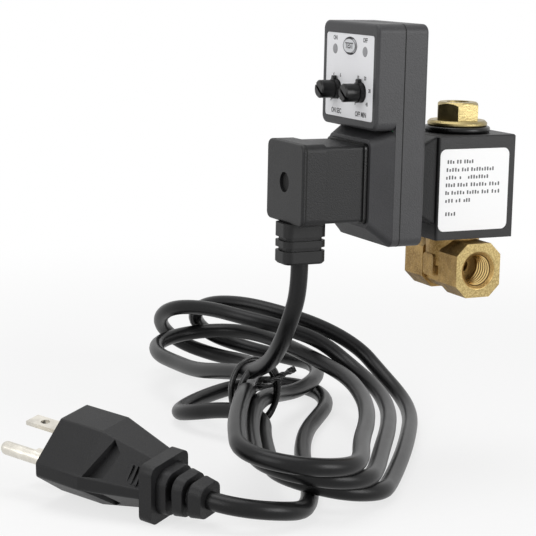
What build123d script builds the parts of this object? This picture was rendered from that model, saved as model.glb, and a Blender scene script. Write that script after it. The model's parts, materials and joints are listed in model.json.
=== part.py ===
from build123d import *
import math
import os

# Automatic drain valve: brass solenoid valve, moulded coil, plug-in timer, cable connector and mains lead.
# Millimetres, +Z up along the valve stem, Y along the flow. The origin is where the thread of the inlet
# port begins, on the port axis.

# ---------------------------------------------------------------- driving dimensions
# brass body
body_length = 36.0
port_boss_width = 18.0
port_boss_height = 19.3
port_boss_corner = 4.2
port_boss_length = 12.5
waist_width = 15.0
waist_height = 16.0
bonnet_radius = 9.6
port_lead_in = 1.2
thread_bore_radius = 5.7
thread_bore_length = 9.6
chamber_radius = 6.5
chamber_floor_z = 2.6
seat_radius = 3.0
seat_top_z = 4.4
orifice_radius = 1.75
outlet_passage_radius = 2.2
inlet_passage_radius = 1.4
nub_length = 7.0
nub_height = 8.0
# stem
coil_base_z = 11.0
tube_radius = 5.5
tube_wall = 0.4
tube_collar_height = 4.2
core_length = 16.0
stud_radius = 4.0
stroke = 1.8
plunger_gap = 0.1
seal_radius = 3.4
seal_thickness = 1.8
spring_bore_radius = 2.9
spring_wire_radius = 0.35
spring_turns = 6
# coil
coil_width = 32.0
coil_depth = 29.0
coil_height = 36.7
coil_edge = 1.0
coil_wall = 1.8
yoke_thickness = 2.0
bobbin_wall = 0.8
bobbin_flange_radius = 11.6
winding_radius = 11.2
neck_length = 7.1
neck_root_width = 26.0
neck_root_height = 31.0
neck_face_size = 27.0
terminal_width = 6.3
terminal_thickness = 0.8
terminal_reach = 7.0
terminal_spread = 9.0
# nut stack
seal_ring_radius = 11.8
seal_ring_height = 2.2
washer_radius = 10.7
washer_height = 2.0
nut_across_flats = 14.2
nut_height = 6.4
# timer
timer_width = 39.8
timer_height = 76.2
timer_floor_z = 10.3
timer_rear_depth = 9.2
timer_lower_depth = 2.75
timer_upper_depth = 10.75
timer_step_z = 50.4
timer_wall = 2.0
timer_corner = 3.0
pedestal_depth = 7.0
pedestal_slope = 4.4
gasket_thickness = 1.5
label_width = 34.6
label_height = 29.2
label_centre_z = 67.9
label_recess = 0.4
knob_spread = 8.9
knob_z = 62.9
knob_radius = 3.15
knob_reach = 7.2
knob_clearance = 0.35
spindle_radius = 1.5
spindle_clearance = 0.08
knob_slot = 1.0
lamp_spread = 10.8
lamp_z = 76.8
lamp_radius = 1.9
button_z = 78.3
button_length = 8.6
button_width = 4.6
button_clearance = 0.35
button_travel = 0.5
board_thickness = 1.6
board_front_gap = 0.1
# connector
connector_size = 28.0
connector_length = 23.5
head_length = 8.8
head_step = 0.8
screw_z = 31.9
screw_radius = 1.5
screw_head_radius = 2.75
screw_well_radius = 3.5
screw_well_depth = 5.0
# cord and plug
cord_radius = 3.1
relief_width = 16.0
relief_depth = 11.0
relief_height = 14.4
relief_x = -61.9
ground_level = -74.0
plug_exit = Vector(-112.6, -57.6, -64.3)
plug_yaw = 132.0
plug_pitch = 5.0
plug_roll = -8.0
plug_relief_length = 16.0
plug_collar_length = 5.0
plug_collar_size = 20.5
plug_body_length = 39.0
plug_face_height = 27.0
plug_face_depth = 28.5
plug_apex = 5.0
blade_pitch = 12.7
blade_width = 6.35
blade_thickness = 1.5
blade_length = 17.5
ground_offset = 11.9
ground_pin_radius = 2.4
ground_pin_length = 20.6

# small features
nub_reach = 2.5
nub_corner = 1.5
passage_overlap = 0.5
collar_lift = 0.4
ring_section = 0.9
shading_radius = 3.3
shading_width = 0.9
shading_depth = 1.4
stud_recess = 0.8
flute_count = 2
flute_radius = 0.9
seal_proud = 0.4
spring_bore_depth = 9.0
spring_coil_radius = 2.3
nut_crown = 1.2
neck_flange = 2.0
neck_waist_width = 23.0
neck_waist_height = 25.0
earth_drop = 9.0
terminal_root = 4.5
yoke_depth = 22.0
socket_width = 7.6
socket_thickness = 2.6
socket_floor = 1.0
gasket_opening = 22.4
timer_edge = 1.2
pedestal_lip = 2.6
pin_bay_size = 23.0
board_margin = 1.0
board_notch = 14.0
pot_size = 8.6
pot_gap = 0.5
knob_bevel = 0.5
collar_stand = 0.4
collar_height = 1.4
collar_rim = 0.35
pointer_length = 1.2
pointer_width = 1.6
spindle_length = 3.6
knob_slot_depth = 1.2
knob_slot_turn = 35
lamp_rim = 0.7
button_proud = 0.25
button_bevel = 0.2
button_flange = 0.7
button_flange_gap = 0.1
switch_size = 6.0
switch_stem = 1.2
screw_clearance = 0.25
screw_head_height = 2.2
head_corner = 2.6
head_edge = 0.9
relief_corner = 3.0
relief_first_groove = 4.6
relief_groove_pitch = 3.6
relief_groove = 1.1
relief_groove_height = 1.3
pin_tail = 2.0
bundle_height = 41.0
bundle_front_height = 20.0
bundle_tie_height = 31.0
tie_x = -58.0
tie_y = 22.0
tie_span = 22.0
tie_thickness = 1.2
tie_width = 5.0
plug_relief_tip = 5.6
plug_relief_root = 8.0
plug_relief_core = 4.4
plug_relief_groove = 2.2
plug_waist_share = 0.66
plug_back = 13.5
plug_shoulder = 1.5
plug_front = 15.0
blade_line = 4.0
blade_hole_inset = 5.9
blade_hole_radius = 1.6

# clearances
face_gap = 0.1
seat_gap = 0.05
fit_gap = 0.05
coil_gap = 0.3

# ---------------------------------------------------------------- worked-out places
rear_face = port_lead_in
front_face = rear_face - body_length
stem_y = rear_face - body_length / 2
bonnet_top = coil_base_z - face_gap
coil_top = coil_base_z + coil_height
ring_base_z = coil_top + face_gap
washer_base_z = ring_base_z + seal_ring_height
nut_base_z = washer_base_z + washer_height
nut_top_z = nut_base_z + nut_height
tube_inner_radius = tube_radius - tube_wall
plunger_radius = tube_inner_radius - plunger_gap
core_top_z = ring_base_z + seal_ring_height / 2
core_base_z = core_top_z - core_length
seal_base_z = seat_top_z + seat_gap
plunger_top_z = core_base_z - stroke - face_gap
plunger_base_z = seal_base_z + 0.4
coil_left = -coil_width / 2
coil_face_x = coil_left - neck_length
timer_rear_x = coil_face_x - gasket_thickness
timer_seam_x = timer_rear_x - timer_rear_depth
timer_lower_x = timer_seam_x - timer_lower_depth
timer_front_x = timer_seam_x - timer_upper_depth
timer_top_z = timer_floor_z + timer_height
board_x = timer_lower_x + board_front_gap
pedestal_x = timer_lower_x - pedestal_depth
connector_rear_x = pedestal_x - gasket_thickness
connector_front_x = connector_rear_x - connector_length
connector_bottom = screw_z - connector_size / 2
relief_base_z = connector_bottom - relief_height

os.makedirs("parts", exist_ok=True)


def save(part, name):
    """Label one sub-part and write it as a STEP file."""
    part.label = name
    export_step(part, f"parts/{name}.step")


# ================================================================ valve
rear_mouth = Plane(origin=(0, rear_face, 0), x_dir=(-1, 0, 0), z_dir=(0, 1, 0))
front_mouth = Plane(origin=(0, front_face, 0), x_dir=(1, 0, 0), z_dir=(0, -1, 0))
mouth_radius = thread_bore_radius + port_lead_in
bore_depth = thread_bore_length + port_lead_in

# Forged body: two octagonal port bosses on a narrower waist, a round bonnet, a nub on the timer's side.
with BuildPart() as valve_body:
    for mouth in (rear_mouth, front_mouth):
        with BuildSketch(mouth):
            Rectangle(port_boss_width, port_boss_height)
            chamfer(vertices(), port_boss_corner)
        extrude(amount=-port_boss_length)
    with BuildSketch(Plane.XZ.offset(-stem_y)):
        Rectangle(waist_width, waist_height)
        chamfer(vertices(), port_boss_corner / 2)
    extrude(amount=body_length / 2 - port_boss_length, both=True)
    with BuildSketch(Plane.XY):
        with Locations((0, stem_y)):
            Circle(bonnet_radius)
    extrude(amount=bonnet_top)
    with BuildSketch(Plane.YZ.offset(-waist_width / 2 - nub_reach)):
        with Locations((stem_y, 0)):
            RectangleRounded(nub_length, nub_height, nub_corner)
    extrude(amount=nub_reach + 1.0)
    for mouth in (rear_mouth, front_mouth):
        with Locations(mouth):
            CounterSinkHole(thread_bore_radius, mouth_radius, bore_depth, 90)
    # chamber round the raised seat
    with BuildSketch(Plane.XY.offset(chamber_floor_z)):
        with Locations((0, stem_y)):
            Circle(chamber_radius)
            Circle(seat_radius, mode=Mode.SUBTRACT)
    extrude(amount=bonnet_top - chamber_floor_z, mode=Mode.SUBTRACT)
    with BuildSketch(Plane.XY.offset(seat_top_z)):
        with Locations((0, stem_y)):
            Circle(seat_radius)
    extrude(amount=bonnet_top - seat_top_z, mode=Mode.SUBTRACT)
    with BuildSketch(Plane.XY):
        with Locations((0, stem_y)):
            Circle(orifice_radius)
    extrude(amount=seat_top_z, mode=Mode.SUBTRACT)
    # outlet passage under the seat, inlet passage into the chamber
    with BuildSketch(Plane.XZ.offset(-stem_y)):
        Circle(outlet_passage_radius)
    extrude(amount=body_length / 2 - bore_depth, mode=Mode.SUBTRACT)
    with BuildSketch(rear_mouth.offset(-bore_depth + passage_overlap)):
        with Locations((0, chamber_floor_z + inlet_passage_radius)):
            Circle(inlet_passage_radius)
    extrude(amount=-(body_length / 2 - bore_depth - chamber_radius + 2 * passage_overlap), mode=Mode.SUBTRACT)
save(valve_body.part, "valve_body")

stem = Plane(origin=(0, stem_y, 0))

# Guide tube with its threaded collar, open at both ends.
with BuildPart() as armature_tube:
    with BuildSketch(stem.offset(seat_top_z + collar_lift)):
        Circle(chamber_radius - fit_gap)
    extrude(amount=tube_collar_height)
    with BuildSketch(stem.offset(seat_top_z + collar_lift)):
        Circle(tube_radius)
    extrude(amount=core_top_z - seat_top_z - collar_lift)
    with BuildSketch(stem.offset(seat_top_z + collar_lift)):
        Circle(tube_inner_radius)
    extrude(amount=core_top_z - seat_top_z - collar_lift, mode=Mode.SUBTRACT)
save(armature_tube.part, "armature_tube")

# Ring under the collar, in the bottom of the chamber.
with BuildPart() as tube_o_ring:
    with BuildSketch(Plane.XZ.offset(-stem_y)):
        with Locations((chamber_radius - ring_section - fit_gap, chamber_floor_z + ring_section + fit_gap)):
            Circle(ring_section)
    revolve(axis=Axis((0, stem_y, 0), (0, 0, 1)))
save(tube_o_ring.part, "tube_o_ring")

# Core that closes the tube, with the stud for the nut and a groove for the shading ring.
with BuildPart() as fixed_core:
    with BuildSketch(stem.offset(core_base_z)):
        Circle(tube_inner_radius - fit_gap)
    extrude(amount=core_length)
    with BuildSketch(stem.offset(core_top_z)):
        Circle(stud_radius)
    extrude(amount=nut_top_z - core_top_z - stud_recess)
    chamfer(edges().sort_by(Axis.Z)[-1], stud_recess / 2)
    with BuildSketch(stem.offset(core_base_z)):
        Circle(shading_radius + shading_width)
        Circle(shading_radius, mode=Mode.SUBTRACT)
    extrude(amount=shading_depth, mode=Mode.SUBTRACT)
save(fixed_core.part, "fixed_core")

with BuildPart() as shading_ring:
    with BuildSketch(stem.offset(core_base_z + seat_gap)):
        Circle(shading_radius + shading_width - fit_gap)
        Circle(shading_radius + fit_gap, mode=Mode.SUBTRACT)
    extrude(amount=shading_depth - 2 * seat_gap)
save(shading_ring.part, "shading_ring")

# Plunger: bored for its spring at the top, recessed for the seat disc below, fluted for the air to pass.
with BuildPart() as plunger:
    with BuildSketch(stem.offset(plunger_base_z)):
        Circle(plunger_radius)
        with PolarLocations(plunger_radius, flute_count):
            Circle(flute_radius, mode=Mode.SUBTRACT)
    extrude(amount=plunger_top_z - plunger_base_z)
    with BuildSketch(stem.offset(plunger_top_z)):
        Circle(spring_bore_radius)
    extrude(amount=-spring_bore_depth, mode=Mode.SUBTRACT)
    with BuildSketch(stem.offset(plunger_base_z)):
        Circle(seal_radius + fit_gap)
    extrude(amount=seal_thickness - seal_proud, mode=Mode.SUBTRACT)
save(plunger.part, "plunger")

with BuildPart() as plunger_seal:
    with BuildSketch(stem.offset(seal_base_z)):
        Circle(seal_radius)
    extrude(amount=seal_thickness)
    fillet(plunger_seal.edges().sort_by(Axis.Z)[0], 0.3)
save(plunger_seal.part, "plunger_seal")

spring_base_z = plunger_top_z - spring_bore_depth + spring_wire_radius + seat_gap
spring_height = core_base_z - spring_wire_radius - seat_gap - spring_base_z
with BuildPart() as plunger_spring:
    with BuildLine(stem.offset(spring_base_z)):
        Helix(spring_height / spring_turns, spring_height, spring_coil_radius)
    with BuildSketch(Plane(origin=(spring_coil_radius, stem_y, spring_base_z), z_dir=(0, 1, 0))):
        Rectangle(2 * spring_wire_radius, 2 * spring_wire_radius)
    sweep(is_frenet=True)
save(plunger_spring.part, "plunger_spring")

# Nut stack on the coil: rubber ring, flanged washer, chamfered hex nut.
with BuildPart() as nut_seal_ring:
    with BuildSketch(stem.offset(ring_base_z)):
        Circle(seal_ring_radius)
        Circle(tube_radius + coil_gap, mode=Mode.SUBTRACT)
    extrude(amount=seal_ring_height - seat_gap)
    outer = nut_seal_ring.edges().filter_by(GeomType.CIRCLE).group_by(SortBy.RADIUS)[-1]
    fillet(outer, seal_ring_height * 0.42)
save(nut_seal_ring.part, "nut_seal_ring")

with BuildPart() as nut_washer:
    with BuildSketch(stem.offset(washer_base_z)):
        Circle(washer_radius)
        Circle(stud_radius + fit_gap, mode=Mode.SUBTRACT)
    extrude(amount=washer_height - seat_gap)
    outer = nut_washer.edges().filter_by(GeomType.CIRCLE).group_by(SortBy.RADIUS)[-1]
    chamfer(outer.sort_by(Axis.Z)[-1], washer_height * 0.4)
    fillet(outer.sort_by(Axis.Z)[0], washer_height * 0.3)
save(nut_washer.part, "nut_washer")

nut_corner_radius = nut_across_flats / math.sqrt(3)
with BuildPart() as coil_nut:
    with BuildSketch(stem.offset(nut_base_z)):
        RegularPolygon(nut_across_flats / 2, 6, major_radius=False)
    extrude(amount=nut_height)
    with BuildSketch(Plane(origin=(0, stem_y, nut_base_z), x_dir=(1, 0, 0), z_dir=(0, -1, 0))):
        with BuildLine():
            Polyline(
                (0, 0),
                (nut_corner_radius, 0),
                (nut_corner_radius, nut_height - nut_crown),
                (nut_across_flats / 2 - nut_crown / 2, nut_height),
                (0, nut_height),
                close=True,
            )
        make_face()
    revolve(axis=Axis((0, stem_y, 0), (0, 0, 1)), mode=Mode.INTERSECT)
    with BuildSketch(stem.offset(nut_base_z)):
        Circle(stud_radius + fit_gap)
    extrude(amount=nut_height, mode=Mode.SUBTRACT)
save(coil_nut.part, "coil_nut")

# ================================================================ coil
cavity_low = coil_base_z + coil_wall
cavity_high = coil_top - coil_wall
cavity_width = coil_width - 2 * coil_wall
cavity_depth = coil_depth - 2 * coil_wall
bobbin_radius = tube_radius + coil_gap

# Moulded block with the stem bore, the inner space for the winding, and the sloping neck to the timer.
with BuildPart() as coil_housing:
    with BuildSketch(stem.offset(coil_base_z)):
        RectangleRounded(coil_width, coil_depth, coil_edge)
    extrude(amount=coil_height)
    chamfer(coil_housing.faces().sort_by(Axis.Z)[-1].edges(), coil_edge / 2)
    with BuildSketch(Plane.YZ.offset(coil_left)):
        with Locations((stem_y, screw_z)):
            RectangleRounded(neck_root_width, neck_root_height, coil_edge)
    with BuildSketch(Plane.YZ.offset(coil_face_x + neck_flange)):
        with Locations((stem_y, screw_z)):
            RectangleRounded(neck_waist_width, neck_waist_height, coil_edge)
    loft()
    with BuildSketch(Plane.YZ.offset(coil_face_x)):
        with Locations((stem_y, screw_z)):
            RectangleRounded(neck_face_size, neck_face_size, coil_edge * 2)
    extrude(amount=neck_flange)
    with BuildSketch(stem.offset(cavity_low)):
        Rectangle(cavity_width, cavity_depth)
    extrude(amount=cavity_high - cavity_low, mode=Mode.SUBTRACT)
    with BuildSketch(stem.offset(coil_base_z)):
        Circle(bobbin_radius)
    extrude(amount=coil_height, mode=Mode.SUBTRACT)
    with BuildSketch(Plane.YZ.offset(coil_face_x)):
        with Locations((stem_y, screw_z)):
            Circle(screw_radius + fit_gap)
            for side in (-1, 1):
                with Locations((side * terminal_spread, 0)):
                    Rectangle(terminal_thickness + 2 * fit_gap, terminal_width + 2 * fit_gap)
            with Locations((0, -earth_drop)):
                Rectangle(terminal_width + 2 * fit_gap, terminal_thickness + 2 * fit_gap)
    extrude(amount=terminal_root, mode=Mode.SUBTRACT)
save(coil_housing.part, "coil_housing")

# Steel frame: two end plates and one side plate, round the winding.
with BuildPart() as coil_yoke:
    with BuildSketch(Plane.XZ.offset(-stem_y)):
        with Locations((0, (cavity_low + cavity_high) / 2)):
            Rectangle(cavity_width - 2 * fit_gap, cavity_high - cavity_low - 2 * fit_gap)
        with Locations((-yoke_thickness / 2 - 0.5, (cavity_low + cavity_high) / 2)):
            Rectangle(
                cavity_width - yoke_thickness + 1.0,
                cavity_high - cavity_low - 2 * yoke_thickness - 2 * fit_gap,
                mode=Mode.SUBTRACT,
            )
    extrude(amount=yoke_depth / 2, both=True)
    with BuildSketch(stem.offset(cavity_low)):
        Circle(bobbin_radius)
    extrude(amount=cavity_high - cavity_low, mode=Mode.SUBTRACT)
save(coil_yoke.part, "coil_yoke")

bobbin_low = cavity_low + yoke_thickness + 2 * fit_gap
bobbin_high = cavity_high - yoke_thickness - 2 * fit_gap
with BuildPart() as coil_bobbin:
    with BuildSketch(Plane(origin=(0, stem_y, 0), x_dir=(1, 0, 0), z_dir=(0, -1, 0))):
        with BuildLine():
            Polyline(
                (bobbin_radius, bobbin_low),
                (bobbin_flange_radius, bobbin_low),
                (bobbin_flange_radius, bobbin_low + bobbin_wall),
                (bobbin_radius + bobbin_wall, bobbin_low + bobbin_wall),
                (bobbin_radius + bobbin_wall, bobbin_high - bobbin_wall),
                (bobbin_flange_radius, bobbin_high - bobbin_wall),
                (bobbin_flange_radius, bobbin_high),
                (bobbin_radius, bobbin_high),
                close=True,
            )
        make_face()
    revolve(axis=Axis((0, stem_y, 0), (0, 0, 1)))
save(coil_bobbin.part, "coil_bobbin")

with BuildPart() as coil_winding:
    with BuildSketch(stem.offset(bobbin_low + bobbin_wall + fit_gap)):
        Circle(winding_radius)
        Circle(bobbin_radius + bobbin_wall + fit_gap, mode=Mode.SUBTRACT)
    extrude(amount=bobbin_high - bobbin_low - 2 * bobbin_wall - 2 * fit_gap)
save(coil_winding.part, "coil_winding")


def flat_pins(front_x, length):
    """Three flat pins of the coil connector: two upright at the sides, the earth lying below."""
    with BuildPart() as pins:
        with BuildSketch(Plane.YZ.offset(front_x)):
            with Locations((stem_y, screw_z)):
                for side in (-1, 1):
                    with Locations((side * terminal_spread, 0)):
                        Rectangle(terminal_thickness, terminal_width)
                with Locations((0, -earth_drop)):
                    Rectangle(terminal_width, terminal_thickness)
        extrude(amount=length)
        tips = pins.faces().group_by(Axis.X)[0].edges()
        chamfer(tips, terminal_thickness / 4)
    return pins.part


def pin_sockets(front_x, length, depth):
    """Three sprung contacts, each a small box with a slot for its pin."""
    with BuildPart() as sockets:
        with BuildSketch(Plane.YZ.offset(front_x)):
            with Locations((stem_y, screw_z)):
                for side in (-1, 1):
                    with Locations((side * terminal_spread, 0)):
                        Rectangle(socket_thickness, socket_width)
                with Locations((0, -earth_drop)):
                    Rectangle(socket_width, socket_thickness)
        extrude(amount=length)
        with BuildSketch(Plane.YZ.offset(front_x + length)):
            with Locations((stem_y, screw_z)):
                for side in (-1, 1):
                    with Locations((side * terminal_spread, 0)):
                        Rectangle(terminal_thickness + 2 * fit_gap, terminal_width + 2 * fit_gap)
                with Locations((0, -earth_drop)):
                    Rectangle(terminal_width + 2 * fit_gap, terminal_thickness + 2 * fit_gap)
        extrude(amount=-depth, mode=Mode.SUBTRACT)
    return sockets.part


save(flat_pins(coil_face_x - terminal_reach, terminal_reach + terminal_root - fit_gap), "coil_terminals")


def flat_gasket(front_x, size):
    """Square seal with a hole over the pins."""
    with BuildPart() as gasket:
        with BuildSketch(Plane.YZ.offset(front_x)):
            with Locations((stem_y, screw_z)):
                RectangleRounded(size, size, coil_edge * 2)
                RectangleRounded(gasket_opening, gasket_opening, coil_edge, mode=Mode.SUBTRACT)
        extrude(amount=gasket_thickness)
    return gasket.part


save(flat_gasket(timer_rear_x, neck_face_size), "coil_gasket")

# ================================================================ timer
def case_outline(x, inset, low_z, high_z, corner):
    """Rounded outline of the timer case on a plane across X, pulled in by an inset."""
    with BuildSketch(Plane.YZ.offset(x)) as outline:
        with Locations((stem_y, (low_z + high_z) / 2)):
            RectangleRounded(timer_width - 2 * inset, high_z - low_z - 2 * inset, corner)
    return outline.sketch


inner_corner = timer_corner - timer_wall / 2

# Rear shell: open towards the front, with the contact window and the screw hole in its back wall.
with BuildPart() as timer_rear_shell:
    extrude(case_outline(timer_seam_x, 0, timer_floor_z, timer_top_z, timer_corner), amount=timer_rear_depth)
    fillet(timer_rear_shell.faces().sort_by(Axis.X)[-1].edges(), timer_edge)
    extrude(
        case_outline(timer_seam_x, timer_wall, timer_floor_z, timer_top_z, inner_corner),
        amount=timer_rear_depth - timer_wall,
        mode=Mode.SUBTRACT,
    )
    with BuildSketch(Plane.YZ.offset(timer_rear_x)):
        with Locations((stem_y, screw_z)):
            RectangleRounded(gasket_opening, gasket_opening, coil_edge)
    extrude(amount=-timer_wall, mode=Mode.SUBTRACT)
save(timer_rear_shell.part, "timer_rear_shell")

# Front shell: a shallow lower half that carries the connector pedestal, and a deeper upper half with
# the label panel, the lamps, the test button and the two spindles.
with BuildPart() as timer_front_shell:
    lower = case_outline(timer_lower_x, 0, timer_floor_z, timer_top_z, timer_corner)
    extrude(lower, amount=timer_lower_depth)
    upper = case_outline(timer_front_x, 0, timer_step_z, timer_top_z, timer_corner)
    extrude(upper, amount=timer_upper_depth)
    fillet(timer_front_shell.faces().sort_by(Axis.X)[0].edges(), timer_edge)
    with BuildSketch(Plane.YZ.offset(timer_lower_x)):
        with Locations((stem_y, (timer_floor_z + timer_step_z) / 2)):
            RectangleRounded(timer_width - 0.2, timer_step_z - timer_floor_z - 0.2, timer_corner)
    with BuildSketch(Plane.YZ.offset(pedestal_x)):
        with Locations((stem_y, screw_z)):
            RectangleRounded(connector_size + pedestal_lip, connector_size + pedestal_lip, timer_corner)
    loft()
    # hollow
    extrude(
        case_outline(timer_seam_x, timer_wall, timer_floor_z, timer_top_z, inner_corner),
        amount=-timer_lower_depth,
        mode=Mode.SUBTRACT,
    )
    extrude(
        case_outline(timer_seam_x, timer_wall, timer_step_z, timer_top_z, inner_corner),
        amount=timer_wall - timer_upper_depth,
        mode=Mode.SUBTRACT,
    )
    with BuildSketch(Plane.YZ.offset(timer_seam_x)):
        with Locations((stem_y, screw_z)):
            RectangleRounded(pin_bay_size, pin_bay_size, coil_edge)
    extrude(amount=pedestal_x + timer_wall - timer_seam_x, mode=Mode.SUBTRACT)
    # label panel and the openings through it
    with BuildSketch(Plane.YZ.offset(timer_front_x)):
        with Locations((stem_y, label_centre_z)):
            RectangleRounded(label_width, label_height, coil_edge)
    extrude(amount=label_recess, mode=Mode.SUBTRACT)
    with BuildSketch(Plane.YZ.offset(timer_front_x)):
        for side in (-1, 1):
            with Locations((stem_y + side * knob_spread, knob_z)):
                Circle(knob_radius + knob_clearance)
            with Locations((stem_y + side * lamp_spread, lamp_z)):
                Circle(lamp_radius + fit_gap)
        with Locations((stem_y, button_z)):
            SlotOverall(button_length + 2 * button_clearance, button_width + 2 * button_clearance)
    extrude(amount=timer_wall + label_recess, mode=Mode.SUBTRACT)
    # pin slots and screw hole through the pedestal's face
    with BuildSketch(Plane.YZ.offset(pedestal_x)):
        with Locations((stem_y, screw_z)):
            Circle(screw_radius + screw_clearance)
            for side in (-1, 1):
                with Locations((side * terminal_spread, 0)):
                    Rectangle(terminal_thickness + 2 * fit_gap, terminal_width + 2 * fit_gap)
            with Locations((0, -earth_drop)):
                Rectangle(terminal_width + 2 * fit_gap, terminal_thickness + 2 * fit_gap)
    extrude(amount=timer_wall, mode=Mode.SUBTRACT)
save(timer_front_shell.part, "timer_front_shell")

# Circuit board, notched round the pins and the long screw.
board_top_z = timer_top_z - timer_wall - board_margin
board_low_z = screw_z + board_notch
with BuildPart() as circuit_board:
    with BuildSketch(Plane.YZ.offset(board_x)):
        with Locations((stem_y, (board_low_z + board_top_z) / 2)):
            RectangleRounded(timer_width - 2 * timer_wall - 2 * fit_gap, board_top_z - board_low_z, inner_corner)
    extrude(amount=board_thickness)
save(circuit_board.part, "circuit_board")

inner_front_x = timer_front_x + timer_wall

# Setting pots behind the front wall, bored for the spindles.
with BuildPart() as setting_pots:
    with BuildSketch(Plane.YZ.offset(inner_front_x + pot_gap)):
        for side in (-1, 1):
            with Locations((stem_y + side * knob_spread, knob_z)):
                RectangleRounded(pot_size, pot_size, coil_edge)
                Circle(spindle_radius + spindle_clearance, mode=Mode.SUBTRACT)
    extrude(amount=board_x - inner_front_x - pot_gap)
save(setting_pots.part, "setting_pots")

for name, side in (("on_time_knob", 1), ("off_time_knob", -1)):
    centre_y = stem_y + side * knob_spread
    with BuildPart() as knob:
        with BuildSketch(Plane.YZ.offset(timer_front_x - knob_reach)):
            with Locations((centre_y, knob_z)):
                Circle(knob_radius)
        extrude(amount=knob_reach + timer_wall)
        chamfer(knob.edges().group_by(Axis.X)[0], knob_bevel)
        # collar with its pointer, just clear of the label
        with BuildSketch(Plane.YZ.offset(timer_front_x - collar_stand - collar_height)):
            with Locations((centre_y, knob_z)):
                Circle(knob_radius + collar_rim)
            with Locations((centre_y, knob_z + knob_radius + pointer_length / 2)):
                RectangleRounded(pointer_width, pointer_length + 2 * collar_rim, pointer_width * 0.45)
        extrude(amount=collar_height)
        with BuildSketch(Plane.YZ.offset(timer_front_x + timer_wall)):
            with Locations((centre_y, knob_z)):
                Circle(spindle_radius)
        extrude(amount=spindle_length)
        with BuildSketch(Plane.YZ.offset(timer_front_x - knob_reach)):
            with Locations((centre_y, knob_z)):
                Rectangle(2 * knob_radius, knob_slot, rotation=knob_slot_turn)
        extrude(amount=knob_slot_depth, mode=Mode.SUBTRACT)
    save(knob.part, name)

# Lamps: a domed lens on a collar, seated against the back of the front wall.
for name, side in (("on_led", 1), ("off_led", -1)):
    with BuildPart() as lamp:
        with BuildSketch(Plane.YZ.offset(timer_front_x + label_recess)):
            with Locations((stem_y + side * lamp_spread, lamp_z)):
                Circle(lamp_radius)
        extrude(amount=board_x - timer_front_x - label_recess - face_gap)
        fillet(lamp.edges().group_by(Axis.X)[0], lamp_radius * 0.45)
        with BuildSketch(Plane.YZ.offset(inner_front_x + face_gap)):
            with Locations((stem_y + side * lamp_spread, lamp_z)):
                Circle(lamp_radius + lamp_rim)
        extrude(amount=1.0)
    save(lamp.part, name)

# Test button on its switch.
with BuildPart() as test_button:
    with BuildSketch(Plane.YZ.offset(timer_front_x - button_proud)):
        with Locations((stem_y, button_z)):
            SlotOverall(button_length, button_width)
    extrude(amount=button_proud + timer_wall + button_flange_gap)
    fillet(test_button.edges().group_by(Axis.X)[0], button_bevel)
    with BuildSketch(Plane.YZ.offset(inner_front_x + button_flange_gap)):
        with Locations((stem_y, button_z)):
            SlotOverall(button_length + 2 * button_flange, button_width + 2 * button_flange)
    extrude(amount=button_flange)
save(test_button.part, "test_button")

switch_front_x = inner_front_x + button_flange_gap + button_flange + button_travel + face_gap
with BuildPart() as test_switch:
    with BuildSketch(Plane.YZ.offset(switch_front_x + switch_stem)):
        with Locations((stem_y, button_z)):
            Rectangle(switch_size, switch_size)
    extrude(amount=board_x - switch_front_x - switch_stem)
    with BuildSketch(Plane.YZ.offset(switch_front_x)):
        with Locations((stem_y, button_z)):
            Circle(switch_size / 3.5)
    extrude(amount=switch_stem)
save(test_switch.part, "test_switch")

# Parts on the board.
back_x = board_x + board_thickness
with BuildPart() as dropper_capacitor:
    with BuildSketch(Plane.YZ.offset(back_x)):
        with Locations((stem_y + 9, timer_top_z - 14)):
            RectangleRounded(13, 18, 1.0)
    extrude(amount=6.0)
save(dropper_capacitor.part, "dropper_capacitor")

with BuildPart() as smoothing_capacitor:
    with BuildSketch(Plane.XY.offset(timer_top_z - 22)):
        with Locations((back_x + 3.2, stem_y - 9)):
            Circle(3.15)
    extrude(amount=11.0)
    fillet(smoothing_capacitor.edges().group_by(Axis.Z)[-1], 0.5)
save(smoothing_capacitor.part, "smoothing_capacitor")

with BuildPart() as triac:
    with BuildSketch(Plane.YZ.offset(back_x)):
        with Locations((stem_y - 9, timer_top_z - 35)):
            Rectangle(10, 15)
            with Locations((0, 5.5)):
                Circle(1.8, mode=Mode.SUBTRACT)
    extrude(amount=1.3)
    with BuildSketch(Plane.YZ.offset(back_x + 1.3)):
        with Locations((stem_y - 9, timer_top_z - 38)):
            Rectangle(10, 9)
    extrude(amount=3.2)
save(triac.part, "triac")

with BuildPart() as timer_chip:
    with BuildSketch(Plane.YZ.offset(board_x)):
        with Locations((stem_y, knob_z - 0.5)):
            Rectangle(6.2, 8.4)
    extrude(amount=-2.6)
save(timer_chip.part, "timer_chip")

socket_front_x = coil_face_x - terminal_reach - socket_floor
save(
    pin_sockets(socket_front_x, timer_rear_x - socket_front_x - face_gap, terminal_reach),
    "timer_sockets",
)
save(flat_pins(pedestal_x - terminal_reach, terminal_reach + timer_wall + pin_tail), "timer_pins")
save(flat_gasket(connector_rear_x, connector_size), "connector_gasket")

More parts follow.
